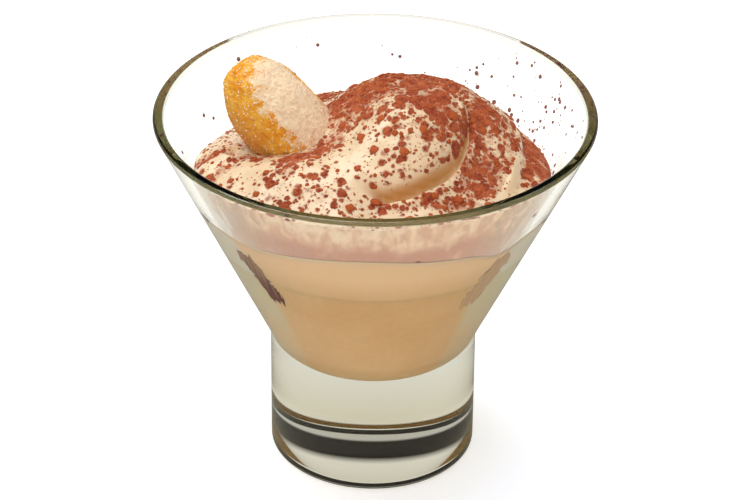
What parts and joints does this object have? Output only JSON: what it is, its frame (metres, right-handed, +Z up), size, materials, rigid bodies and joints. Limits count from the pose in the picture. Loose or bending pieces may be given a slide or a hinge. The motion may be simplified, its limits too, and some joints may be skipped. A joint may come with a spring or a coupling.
{
  "type": "tiramisu in a glass",
  "caption": "Layered mousse and cream dessert in a conical clear glass, dusted with cocoa, with a sponge biscuit pushed into the piled cream.",
  "frame": {"origin": "middle of the glass foot, on the plane of the ring it rests on", "axes": "+Z up along the glass axis, -Y towards the front, where the biscuit stands on the left at -X"},
  "size_m": [0.1058, 0.1058, 0.1037],
  "materials": {
    "clear_glass": "clear polished soda-lime glass with a faint green tint",
    "coffee_mousse": "smooth tan coffee mousse, matt",
    "cocoa_powder": "damp dark brown cocoa powder",
    "dusted_cream": "soft cream with a slight sheen, dusted with red-brown cocoa",
    "sugared_sponge": "golden baked sponge with a sugar crust"
  },
  "bodies": {
    "root": {"glass": "clear_glass", "coffee_mousse": "coffee_mousse", "cocoa_layer": "cocoa_powder", "cream": "dusted_cream", "biscuit": "sugared_sponge"}
  },
  "joints": []
}
